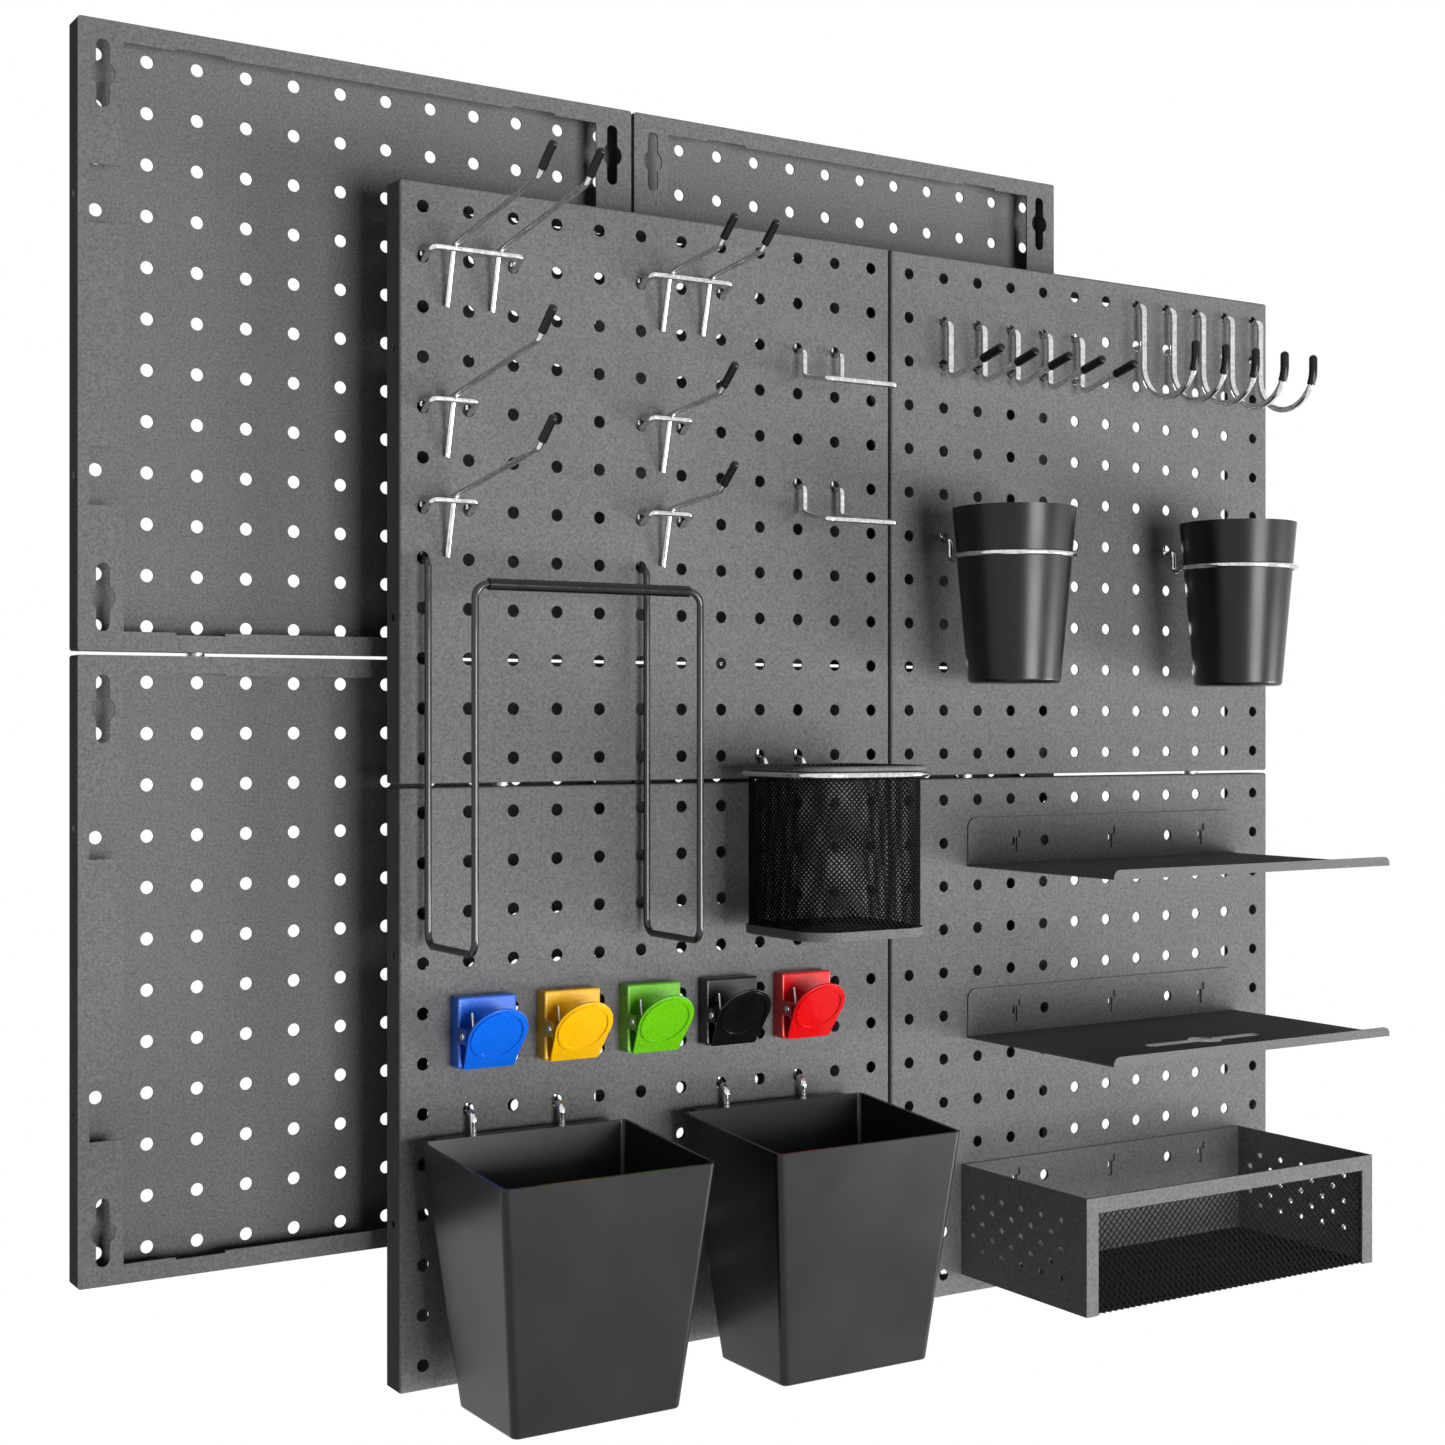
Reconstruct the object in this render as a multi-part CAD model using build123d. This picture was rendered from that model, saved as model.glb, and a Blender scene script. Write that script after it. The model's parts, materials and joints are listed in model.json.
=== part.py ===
from build123d import *
import math
import os

# Frame: millimetres, +X right along the wall, +Y into the wall, +Z up.
# The origin is the middle of the four front panels, on the plane of their back flanges.

# Panel: a folded steel tray, perforated on a square grid of peg holes
peg_pitch = 25.4
peg_count = 12
peg_hole_d = 6.6
panel_size = peg_count * peg_pitch
panel_depth = 16.0
sheet = 1.0
fold_radius = 1.4
panel_gap = 2.0
side_flange = 22.0
end_flange = 9.5
relief_width = 25.0
relief_depth = 1.2
keyhole_slot = 6.5
keyhole_length = 33.0
keyhole_round = 12.0
keyhole_from_side = 12.0
keyhole_from_end = 26.0
notch_height = 28.5
notch_keep = 5.5

# Screws that join neighbouring panels through their side walls
join_side_offset = 68.0
join_end_offset = 92.0
join_hole_d = 4.4
join_screw_d = 4.0
join_head_d = 7.5
join_head_height = 2.8
join_nut_flats = 7.0
join_nut_height = 3.2
join_tail = 1.2
join_spacer_d = 9.0

# Second set of panels, turned round behind the first
rear_shift_x = -150.5
rear_shift_z = 65.6
rear_clearance = 20.4

# Wire fittings: seat in a peg hole, tail behind the sheet, vinyl tips
seat_gap = 0.02
tail_clear = 0.6
tail_rise = 9.0
bend_ratio = 1.0
weld_sink = 0.3
cap_wall = 0.65
cap_fit = 0.02
cap_end = 1.2

# Pronged hooks: a crossbar between two pegs, with one or two prongs welded to it
hook_wire_d = 3.0
hook_bar_stand = 11.5
hook_bar_rise = 4.8
hook_tail_drop = 1.4
hook_leg_drop = 27.5
hook_cap_length = 15.5
tip_reach = 14.6
tip_rise = 12.6
long_arm_reach = 103.0
long_arm_rise = 16.5
short_arm_reach = 59.8
short_arm_rise = 7.6

# Flared tool loops
loop_stand = 7.0
loop_drop = 15.0
loop_reach = 45.0
loop_fall = 22.0
loop_width = 48.0

# Tall pocket holder with a sleeved front bar
pocket_wire_d = 3.7
pocket_stand = 6.2
pocket_depth = 54.8
pocket_drop = 194.0
pocket_lip_drop = 15.0
pocket_corner = 7.0
sleeve_d = 5.8
sleeve_fit = 0.3

# Straight pin hooks and J hooks, each with a top peg and a stub below it
rod_d = 4.0
rod_stand = 6.5
stub_d = 3.4
pin_drop = 33.0
pin_reach = 53.0
pin_rise = 11.5
pin_cap_length = 18.0
j_arc_drop = 37.0
j_radius = 22.5
j_tip_rise = 6.5
j_cap_angle = 24.0

# Tapered cups in wire rings
cup_top_d = 70.6
cup_base_d = 52.6
cup_height = 100.0
cup_wall = 1.6
cup_foot_radius = 2.5
cup_stand = 49.0
cup_rim_above_ring = 27.5
ring_wire_d = 3.0
ring_stand = 6.0
cup_ring_drop = 12.0
lift_gap = 0.3

# Mesh basket: mesh wall, wire rim and sheet base, in a rounded-square ring
basket_side = 76.0
basket_corner = 17.0
basket_stand = 53.5
basket_mesh = 0.9
basket_rim_d = 3.0
basket_height = 91.0
basket_ring_drop = 7.4
basket_base_height = 5.0
basket_base_wall = 1.2
basket_pass_gap = 0.4

# Magnetic spring clips
clip_width = 33.0
clip_height = 36.0
clip_pan_depth = 9.0
clip_sheet = 1.0
clip_corner = 1.2
clip_first_x = -261.3
clip_spacing = 49.2
clip_foot_z = -143.4
clip_pivot_out = 14.0
clip_pivot_up = 17.0
clip_ear_radius = 4.0
clip_pin_d = 2.4
clip_rivet_d = 3.8
clip_rivet_height = 0.8
clip_pin_clear = 0.05
clip_side_gap = 0.35
clip_jaw_gap = 0.35
clip_lever_tilt = 32.0
clip_jaw_width = 28.0
clip_disc_d = 33.0
clip_disc_up = 21.0
clip_ring_width = 1.6
clip_ring_height = 0.6
clip_spring_wire = 1.0
clip_spring_radius = 2.6
clip_spring_turns = 4
clip_spring_pitch = 1.6
clip_spring_x = -9.0
clip_spring_leg = 11.0
clip_magnet_width = 24.0
clip_magnet_height = 9.0

# Tapered bins that hang by a folded back lip on wire hangers
bin_rim_width = 118.0
bin_rim_depth = 94.0
bin_base_width = 92.0
bin_base_depth = 61.0
bin_height = 129.0
bin_wall = 1.8
bin_rim_corner = 4.0
bin_base_corner = 4.0
bin_rim_slope = 4.5
bin_back_taper = 18.0
bin_rim_drop = 9.5
hanger_wire_d = 4.0
hanger_stand = 5.5
hanger_span = 6.0
hanger_turn = 2.9
hanger_tip = 11.0
lip_sheet = 1.2
lip_drop = 9.0
lip_inset = 10.0

# Sheet shelves and the mesh tray, held by punched tabs
shelf_width = 219.0
shelf_depth = 127.0
shelf_back_height = 29.0
shelf_tab_up = 14.3
shelf_sheet = 1.2
shelf_corner = 6.0
shelf_lip = 5.3
tab_slot_width = 3.4
tab_slot_height = 13.0
tab_slot_head = 2.2
tab_height = 4.4
tab_hook = 6.0
tab_hook_width = 3.0
tab_clear = 0.3
plain_hole_d = 6.5
cable_slot_length = 92.0
cable_slot_width = 8.0
cable_slot_round = 20.0
cable_slot_from_lip = 42.0

tray_width = 228.0
tray_depth = 110.0
tray_height = 65.0
tray_tab_down = 13.0
tray_frame = 8.6
tray_mesh_sheet = 1.0
tray_mesh_gap = 0.05
side_hole_d = 3.6
side_hole_step = 17.2
side_hole_row_step = 8.0
side_hole_columns = 5
side_hole_rows = 5
side_hole_back = 50.0
side_hole_down = 32.0
net_cell_x = 17.0
net_cell_y = 13.0
net_strand = 1.6

LEFT, RIGHT = -1, 1
UPPER, LOWER = 1, -1
face_y = -panel_depth
panel_step = panel_size + panel_gap


def hole(side, level, column, row):
    """Centre of a peg hole on the front set, as (x, z)."""
    middle = (peg_count + 1) / 2
    x = side * panel_step / 2 + (column - middle) * peg_pitch
    z = level * panel_step / 2 - (row - middle) * peg_pitch
    return x, z


def seat(z, wire_d):
    """Height of a wire's centre when it rests on the lower edge of its hole."""
    return z - (peg_hole_d - wire_d) / 2 + seat_gap


def group(items):
    """Like pieces as one node of separate solids."""
    return Compound([solid for item in items for solid in item.solids()])


def tail_plane(wire_d):
    return face_y + sheet + tail_clear + wire_d / 2


def tail(x, z, wire_d):
    """The turned-up end of a wire behind the sheet, from its tip to the peg."""
    y = tail_plane(wire_d)
    return [(x, y, z + tail_rise), (x, y, z)]


def rod(path, wire_d):
    return sweep(Plane(origin=path @ 0, z_dir=path % 0) * Circle(wire_d / 2), path=path)


def bent_wire(points, wire_d, bends=None):
    corners = len(points) - 2
    radii = bends or [bend_ratio * wire_d] * corners
    return rod(FilletPolyline(*points, radius=radii), wire_d)


def tangent_angle(end, radius, way):
    """Angle at which a straight line to end leaves a circle about the origin, in (Y, Z)."""
    return math.atan2(end[1], end[0]) + way * math.acos(radius / math.hypot(*end))


def tip_cap(end, direction, wire_d, length):
    """A dipped vinyl tip that covers the last stretch of a straight wire end."""
    radius = wire_d / 2 + cap_wall
    body = Cylinder(radius, length, align=(Align.CENTER, Align.CENTER, Align.MIN))
    body = fillet(body.edges().group_by(Axis.Z)[-1], radius * 0.7)
    bore = Cylinder(wire_d / 2 + cap_fit, length - cap_end, align=(Align.CENTER, Align.CENTER, Align.MIN))
    start = Vector(*end) - direction * (length - cap_end)
    return Plane(origin=start, z_dir=direction) * (body - bore)


# Panels

def keyhole(x, z):
    slot = Pos(x, z) * SlotOverall(keyhole_length, keyhole_slot, rotation=90)
    return slot + Pos(x, z) * Circle(keyhole_round / 2)


def perforated_panel():
    """One panel, centred on X and Z, with its flanges ending at Y = 0."""
    half = panel_size / 2
    outer = Pos(0, -panel_depth / 2, 0) * Box(panel_size, panel_depth, panel_size)
    folds = outer.edges().group_by(Axis.Y)[0] + outer.edges().filter_by(Axis.Y)
    tray = fillet(folds, fold_radius)
    inside = panel_size - 2 * sheet
    tray -= Pos(0, -panel_depth / 2, 0) * Box(inside, panel_depth - 2 * sheet, inside)
    mouth = Rectangle(panel_size - 2 * side_flange, panel_size - 2 * end_flange)
    relief_x = join_end_offset
    for x in (-relief_x, relief_x):
        mouth += Pos(x, 0) * Rectangle(relief_width, panel_size - 2 * (end_flange - relief_depth))
    for z in (-join_side_offset, join_side_offset):
        mouth += Pos(0, z) * Rectangle(panel_size - 2 * notch_keep, notch_height)
    for x in (-half + keyhole_from_side, half - keyhole_from_side):
        for z in (-half + keyhole_from_end, half - keyhole_from_end):
            mouth += keyhole(x, z)
    tray -= extrude(Plane.XZ * mouth, 2 * sheet, both=True)
    punch = Cylinder(peg_hole_d / 2, 4 * sheet)
    face = Pos(0, face_y, 0) * Rot(90, 0, 0)
    tray -= [face * place * punch for place in GridLocations(peg_pitch, peg_pitch, peg_count, peg_count)]
    bore = Cylinder(join_hole_d / 2, panel_size + 2 * sheet)
    for offset in (-join_side_offset, join_side_offset):
        tray -= Pos(0, -panel_depth / 2, offset) * Rot(0, 90, 0) * bore
    for offset in (-join_end_offset, join_end_offset):
        tray -= Pos(offset, -panel_depth / 2, 0) * bore
    return tray


def join_screw():
    """A pan-head screw along Z through two walls, centred on the gap between them."""
    grip = panel_gap / 2 + sheet
    head_seat = grip + seat_gap
    reach = grip + join_nut_height + join_tail
    shank = Pos(0, 0, -reach) * Cylinder(
        join_screw_d / 2, reach + head_seat, align=(Align.CENTER, Align.CENTER, Align.MIN)
    )
    head = Pos(0, 0, head_seat) * Cylinder(
        join_head_d / 2, join_head_height, align=(Align.CENTER, Align.CENTER, Align.MIN)
    )
    head = fillet(head.edges().group_by(Axis.Z)[-1], join_head_height * 0.5)
    return shank + head


def join_nut():
    grip = panel_gap / 2 + sheet + seat_gap
    profile = RegularPolygon(join_nut_flats / 2, 6, major_radius=False) - Circle(join_screw_d / 2 + seat_gap)
    return Pos(0, 0, -grip) * extrude(profile, -join_nut_height)


def join_spacer():
    profile = Circle(join_spacer_d / 2) - Circle(join_hole_d / 2)
    return extrude(profile, panel_gap / 2 - seat_gap, both=True)


def join_places():
    """Where neighbouring panels are screwed together, on both seams of a set."""
    middle_y = -panel_depth / 2
    places = []
    for level in (UPPER, LOWER):
        for offset in (-join_side_offset, join_side_offset):
            places.append(Pos(0, middle_y, level * panel_step / 2 + offset) * Rot(0, 90, 0))
    for side in (LEFT, RIGHT):
        for offset in (-join_end_offset, join_end_offset):
            places.append(Pos(side * panel_step / 2 + offset, middle_y, 0))
    return places


# Pronged hooks

def prong_hook(pegs, row_z, prongs, arm_reach, arm_rise):
    """Crossbar and prongs as one welded piece, and the vinyl tips of the prongs."""
    d = hook_wire_d
    tail_z = seat(row_z, d) - hook_tail_drop
    z = seat(row_z, d) + hook_bar_rise
    bar_y = face_y - hook_bar_stand
    left, right = pegs
    bar = [(left, bar_y, z), (right, bar_y, z)]
    hook = bent_wire(tail(left, tail_z, d) + bar + tail(right, tail_z, d)[::-1], d)
    turn = d - weld_sink
    foot = (hook_bar_stand - d / 2 - seat_gap, -hook_leg_drop)
    elbow = (hook_bar_stand - arm_reach, arm_rise)
    leg_angle = tangent_angle(foot, turn, 1)
    arm_angle = tangent_angle(elbow, turn, -1)
    out = turn / math.cos((arm_angle - leg_angle) / 2)
    middle = (arm_angle + leg_angle) / 2
    shoulder = (out * math.cos(middle), out * math.sin(middle))
    step = Vector(0, -tip_reach, tip_rise)
    caps = []
    for x in prongs:
        points = [Vector(x, bar_y + out_y, z + up_z) for out_y, up_z in (foot, shoulder, elbow)]
        hook += bent_wire(points + [points[-1] + step], d, [turn, bend_ratio * d])
        caps.append(tip_cap(points[-1] + step, step.normalized(), d, hook_cap_length))
    return hook, caps


# Tool loops and the pocket holder

def tool_loop(pegs, row_z):
    d = hook_wire_d
    z = seat(row_z, d)
    left, right = pegs
    stand_y = face_y - loop_stand
    front_y = face_y - loop_reach
    spread = (loop_width - (right - left)) / 2
    front_z = z - loop_fall
    half = tail(left, z, d) + [(left, stand_y, z), (left, stand_y, z - loop_drop)]
    other = tail(right, z, d) + [(right, stand_y, z), (right, stand_y, z - loop_drop)]
    bar = [(left - spread, front_y, front_z), (right + spread, front_y, front_z)]
    return bent_wire(half + bar + other[::-1], d)


def pocket_front():
    """Y of the holder's front bar."""
    return face_y - pocket_stand - pocket_depth


def pocket_holder(pegs, row_z):
    d = pocket_wire_d
    z = seat(row_z, d)
    stand_y = face_y - pocket_stand
    low = z - pocket_drop
    lip = z - pocket_lip_drop
    sides = []
    for x in pegs:
        wall = tail(x, z, d) + [(x, stand_y, z), (x, stand_y, low)]
        sides.append(wall + [(x, pocket_front(), low), (x, pocket_front(), lip)])
    points = sides[0] + sides[1][::-1]
    radii = [bend_ratio * d] * 2 + [pocket_corner] * 6 + [bend_ratio * d] * 2
    return bent_wire(points, d, radii)


def pocket_sleeve(pegs, row_z):
    length = pegs[1] - pegs[0] - 2 * pocket_corner
    middle = sum(pegs) / 2
    z = seat(row_z, pocket_wire_d) - pocket_lip_drop
    tube = Cylinder(sleeve_d / 2, length) - Cylinder(pocket_wire_d / 2 + sleeve_fit, length)
    return Pos(middle, pocket_front(), z) * Rot(0, 90, 0) * tube


# Pin hooks and J hooks

def stub(x, row_z):
    """A short lower peg, welded to the back of an upright rod."""
    z = seat(row_z, rod_d)
    start = face_y - rod_stand
    length = rod_stand + sheet + tail_clear
    return Pos(x, start + length / 2, z) * Rot(90, 0, 0) * Cylinder(stub_d / 2, length)


def pin_hook(x, row_z):
    z = seat(row_z, rod_d)
    y = face_y - rod_stand
    heel = Vector(x, y, z - pin_drop)
    tip = Vector(x, face_y - pin_reach, z - pin_drop + pin_rise)
    points = tail(x, z, rod_d) + [(x, y, z), heel, tip]
    hook = bent_wire(points, rod_d) + stub(x, row_z - peg_pitch)
    return hook, tip_cap(tip, (tip - heel).normalized(), rod_d, pin_cap_length)


def j_hook(x, row_z):
    """An upright rod that turns through a half circle, with a vinyl tip round its end."""
    z = seat(row_z, rod_d)
    y = face_y - rod_stand
    bend = bend_ratio * rod_d
    top = FilletPolyline(*tail(x, z, rod_d), (x, y, z), (x, y, z - j_arc_drop), radius=[bend] * 2)
    centre = Plane(origin=(x, y - j_radius, z - j_arc_drop), x_dir=(0, 1, 0), z_dir=(1, 0, 0))
    turn = centre * CenterArc((0, 0), j_radius, 0, -180)
    end = turn @ 1
    tip = Line(end, end + Vector(0, 0, j_tip_rise))
    hook = rod(Wire(top.edges() + turn.edges() + tip.edges()), rod_d) + stub(x, row_z - peg_pitch)
    cap_turn = centre * CenterArc((0, 0), j_radius, -180 + j_cap_angle, -j_cap_angle)
    sheath = Wire(cap_turn.edges() + Line(end, tip @ 1).edges())
    cap = rod(sheath, rod_d + 2 * cap_wall) + Pos(tip @ 1) * Sphere(rod_d / 2 + cap_wall)
    return hook, cap - rod(sheath, rod_d + 2 * cap_fit)


# Cups and their rings

def cup_radius(height):
    """Outer radius of a cup at a height above its foot."""
    return (cup_base_d + (cup_top_d - cup_base_d) * height / cup_height) / 2


def cup_foot_z(row_z):
    ring_z = seat(row_z, ring_wire_d) - cup_ring_drop
    return ring_z + cup_rim_above_ring - cup_height


def cup(x, row_z):
    shell = Cone(cup_base_d / 2, cup_top_d / 2, cup_height, align=(Align.CENTER, Align.CENTER, Align.MIN))
    shell = fillet(shell.edges().group_by(Axis.Z)[0], cup_foot_radius)
    depth = cup_height - cup_wall
    hollow = Cone(
        cup_radius(cup_wall) - cup_wall, cup_top_d / 2 - cup_wall, depth,
        align=(Align.CENTER, Align.CENTER, Align.MIN),
    )
    return Pos(x, face_y - cup_stand, cup_foot_z(row_z)) * (shell - Pos(0, 0, cup_wall) * hollow)


def ring_arm(x, row_z, drop, end_y):
    """One hanger of a ring, from its tail behind the sheet to the ring."""
    d = ring_wire_d
    z = seat(row_z, d)
    y = face_y - ring_stand
    return bent_wire(tail(x, z, d) + [(x, y, z), (x, y, z - drop), (x, end_y, z - drop)], d)


def cup_ring(pegs, row_z):
    x = sum(pegs) / 2
    ring_z = seat(row_z, ring_wire_d) - cup_ring_drop
    bore = cup_radius(ring_z + ring_wire_d / 2 - cup_foot_z(row_z)) + lift_gap
    radius = bore + ring_wire_d / 2
    ring = Pos(x, face_y - cup_stand, ring_z) * Torus(radius, ring_wire_d / 2)
    reach = math.sqrt(radius**2 - (x - pegs[0]) ** 2)
    for peg in pegs:
        ring += ring_arm(peg, row_z, cup_ring_drop, face_y - cup_stand + reach)
    return ring


# Mesh basket

def rounded_ring(side, corner, wire_d):
    """A rounded-square loop of wire, centred on the origin."""
    loop = RectangleRounded(side, side, corner).wire()
    return rod(loop, wire_d)


def basket_ring_z(row_z):
    return seat(row_z, ring_wire_d) - basket_ring_drop


def basket_pieces(x, row_z):
    """The basket's base, mesh wall and rim, each where it hangs."""
    rim_z = basket_ring_z(row_z) + (ring_wire_d + basket_rim_d) / 2 + lift_gap
    floor_z = rim_z + basket_rim_d / 2 - basket_height
    place = Pos(x, face_y - basket_stand, floor_z)
    wall = basket_base_wall
    inner = basket_side + 2 * seat_gap
    corner = basket_corner + seat_gap
    base = extrude(RectangleRounded(inner + 2 * wall, inner + 2 * wall, corner + wall), basket_base_height)
    base = fillet(base.edges().group_by(Axis.Z)[0], wall)
    base -= Pos(0, 0, wall) * extrude(RectangleRounded(inner, inner, corner), basket_base_height)
    thin = basket_side - 2 * basket_mesh
    section = RectangleRounded(basket_side, basket_side, basket_corner)
    section -= RectangleRounded(thin, thin, basket_corner - basket_mesh)
    mesh_height = basket_height - wall - seat_gap
    mesh = Pos(0, 0, wall + seat_gap) * extrude(section, mesh_height)
    rim = rounded_ring(inner + basket_rim_d, corner + basket_rim_d / 2, basket_rim_d)
    rim = Pos(0, 0, basket_height - basket_rim_d / 2) * rim
    return place * base, place * mesh, place * rim


def basket_ring(pegs, row_z):
    x = sum(pegs) / 2
    grow = basket_base_wall + seat_gap + basket_pass_gap + ring_wire_d / 2
    side = basket_side + 2 * grow
    z = basket_ring_z(row_z)
    ring = Pos(x, face_y - basket_stand, z) * rounded_ring(side, basket_corner + grow, ring_wire_d)
    for peg in pegs:
        ring += ring_arm(peg, row_z, basket_ring_drop, face_y - basket_stand + side / 2 - weld_sink)
    return ring


# Magnetic clips, each drawn about its foot on the board's face

def clip_pan():
    """The fixed plate: a pan that hides the magnet, with two ears for the pin."""
    box = Box(clip_width, clip_pan_depth, clip_height, align=(Align.CENTER, Align.MIN, Align.MIN))
    pan = Pos(0, -clip_pan_depth, 0) * box
    pan = fillet(pan.edges().group_by(Axis.Y)[0] + pan.edges().filter_by(Axis.Y), clip_corner)
    hollow = Box(
        clip_width - 2 * clip_sheet, clip_pan_depth, clip_height - 2 * clip_sheet,
        align=(Align.CENTER, Align.MIN, Align.MIN),
    )
    pan -= Pos(0, -clip_pan_depth + clip_sheet, clip_sheet) * hollow
    ear = Pos(-clip_pivot_out, clip_pivot_up) * Circle(clip_ear_radius)
    root = clip_pivot_out - clip_pan_depth + clip_corner
    ear += Pos(-clip_pivot_out + root / 2, clip_pivot_up) * Rectangle(root, 2 * clip_ear_radius)
    ear -= Pos(-clip_pivot_out, clip_pivot_up) * Circle(clip_pin_d / 2 + clip_pin_clear)
    for side in (LEFT, RIGHT):
        inner = side * (clip_width / 2 - clip_sheet)
        pan += Pos(inner, 0, 0) * extrude(Plane.YZ * ear, side * clip_sheet)
    return pan


def lever_plane():
    """The plane of the lever's back: X across, Y up along the lever, Z out of its front."""
    tilt = math.radians(clip_lever_tilt)
    jaw = (0, -clip_pan_depth - clip_jaw_gap, 0)
    return Plane(origin=jaw, x_dir=(1, 0, 0), z_dir=(0, -math.cos(tilt), -math.sin(tilt)))


def clip_lever():
    """The sprung lever: a jaw, a round thumb disc with a raised rim, and two ears."""
    radius = clip_disc_d / 2
    half_jaw = clip_jaw_width / 2
    plate = make_face(
        Polyline((-half_jaw, 0), (half_jaw, 0), (radius, clip_disc_up), (-radius, clip_disc_up), close=True)
    )
    plate += Pos(0, clip_disc_up) * Circle(radius)
    lever = extrude(plate, clip_sheet)
    lever = fillet(lever.edges().group_by(Axis.Z)[-1], clip_sheet * 0.4)
    rim = Circle(radius - clip_ring_width) - Circle(radius - 2 * clip_ring_width)
    lever += Pos(0, clip_disc_up, clip_sheet) * extrude(rim, clip_ring_height)
    pivot = lever_plane().to_local_coords(Vector(0, -clip_pivot_out, clip_pivot_up))
    ear = Pos(pivot.Y, pivot.Z) * Circle(clip_ear_radius)
    ear += Pos(pivot.Y, pivot.Z / 2) * Rectangle(2 * clip_ear_radius, -pivot.Z)
    ear -= Pos(pivot.Y, pivot.Z) * Circle(clip_pin_d / 2 + clip_pin_clear)
    for side in (LEFT, RIGHT):
        outer = side * (clip_width / 2 - clip_sheet - clip_side_gap)
        lever += Pos(outer, 0, 0) * extrude(Plane.YZ * ear, -side * clip_sheet)
    return lever_plane() * lever


def clip_pin():
    """A pin with two riveted ends, along X."""
    pin = Cylinder(clip_pin_d / 2, clip_width + 2 * seat_gap)
    head = Cylinder(clip_rivet_d / 2, clip_rivet_height, align=(Align.CENTER, Align.CENTER, Align.MIN))
    head = fillet(head.edges().group_by(Axis.Z)[-1], clip_rivet_height * 0.7)
    for turn in (0, 180):
        pin += Rot(turn, 0, 0) * Pos(0, 0, clip_width / 2 + seat_gap) * head
    return Pos(0, -clip_pivot_out, clip_pivot_up) * Rot(0, 90, 0) * pin


def biarc(start, start_way, end, end_way):
    """Two arcs that leave start and reach end along the given directions."""
    gap = end - start
    way = start_way + end_way
    bend = 4 - way.dot(way)
    along = gap.dot(way)
    run = (math.sqrt(along**2 + bend * gap.dot(gap)) - along) / bend
    first = start + start_way * run
    last = end - end_way * run
    middle = (first + last) * 0.5
    return [TangentArc(start, middle, tangent=start_way), TangentArc(middle, end, tangent=last - first)]


def clip_spring():
    """A torsion spring round the pin, with one leg on the pan and one behind the lever."""
    r = clip_spring_radius
    stand = clip_spring_wire / 2 + seat_gap
    pivot = Vector(0, -clip_pivot_out, clip_pivot_up)
    pan_leg = (clip_pivot_out - clip_pan_depth - stand, clip_spring_leg)
    local = lever_plane().to_local_coords(pivot) + Vector(0, clip_spring_leg, 0)
    behind = lever_plane().from_local_coords(Vector(0, local.Y, -stand)) - pivot
    lever_leg = (behind.Y, behind.Z)
    first = tangent_angle(pan_leg, r, -1)
    last = tangent_angle(lever_leg, r, 1) - 2 * math.pi * (clip_spring_turns + 1)
    quarters = math.ceil((first - last) / (math.pi / 2))
    step = (first - last) / quarters
    climb = clip_spring_pitch * step / (2 * math.pi)

    def place(index):
        angle = first - step * index
        return pivot + Vector(clip_spring_x + climb * index, r * math.cos(angle), r * math.sin(angle))

    def heading(index):
        angle = first - step * index
        rise = 0 if index in (0, quarters) else climb / step
        return Vector(rise, r * math.sin(angle), -r * math.cos(angle)).normalized()

    begin = pivot + Vector(clip_spring_x, *pan_leg)
    finish = pivot + Vector(clip_spring_x + climb * quarters, *lever_leg)
    edges = [Line(begin, place(0))]
    for index in range(quarters):
        edges += biarc(place(index), heading(index), place(index + 1), heading(index + 1))
    edges.append(Line(place(quarters), finish))
    return rod(Wire(edges), clip_spring_wire), [edge @ 0.5 for edge in edges[1:-1]]


def least_gap(points, wire_d, apart):
    """Least clear gap between points of a coil that are at least some steps apart."""
    pairs = [(a, b) for i, a in enumerate(points) for b in points[i + apart:]]
    return min((a - b).length for a, b in pairs) - wire_d


def clip_magnet():
    """A block magnet glued in the top of the pan."""
    thick = clip_pan_depth - clip_sheet
    block = Box(clip_magnet_width, thick, clip_magnet_height, align=(Align.CENTER, Align.MAX, Align.MAX))
    return Pos(0, 0, clip_height - 2 * clip_sheet) * block


# Bins and their hangers

def bin_back_y():
    """Y of the outside of a bin's back wall at its rim."""
    hanger_tip_y = face_y - hanger_stand - hanger_span
    return hanger_tip_y - hanger_wire_d / 2 - lift_gap


def bin_rim_z(row_z):
    return seat(row_z, hanger_wire_d) - bin_rim_drop


def bin_block(shrink):
    """The bin's tapered form, smaller all round by shrink, with its back rim edge at the origin."""
    rim = RectangleRounded(
        bin_rim_width - 2 * shrink, bin_rim_depth - 2 * shrink, bin_rim_corner - shrink
    )
    base = RectangleRounded(
        bin_base_width - 2 * shrink, bin_base_depth - 2 * shrink, bin_base_corner - shrink
    )
    rim_y = -bin_rim_depth / 2
    base_y = -bin_back_taper - bin_base_depth / 2
    return loft([Pos(0, base_y, -bin_height + shrink) * base, Pos(0, rim_y, 0) * rim])


def tapered_bin(x, row_z):
    body = bin_block(0)
    body = fillet(body.edges().group_by(Axis.Z)[0], bin_wall)
    body -= bin_block(bin_wall)
    slope = Box(
        2 * bin_rim_width, 2 * bin_rim_depth, bin_rim_depth, align=(Align.CENTER, Align.MAX, Align.MIN)
    )
    body -= Pos(0, -bin_wall, 0) * Rot(bin_rim_slope, 0, 0) * slope
    lip_out = hanger_wire_d + 2 * lift_gap + lip_sheet
    width = bin_rim_width - 2 * lip_inset
    flange = Box(width, lip_out + bin_wall, lip_sheet, align=(Align.CENTER, Align.MAX, Align.MAX))
    lip = Box(width, lip_sheet, lip_drop, align=(Align.CENTER, Align.MAX, Align.MAX))
    body += Pos(0, lip_out, 0) * (flange + lip)
    return Pos(x, bin_back_y(), bin_rim_z(row_z)) * body


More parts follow.
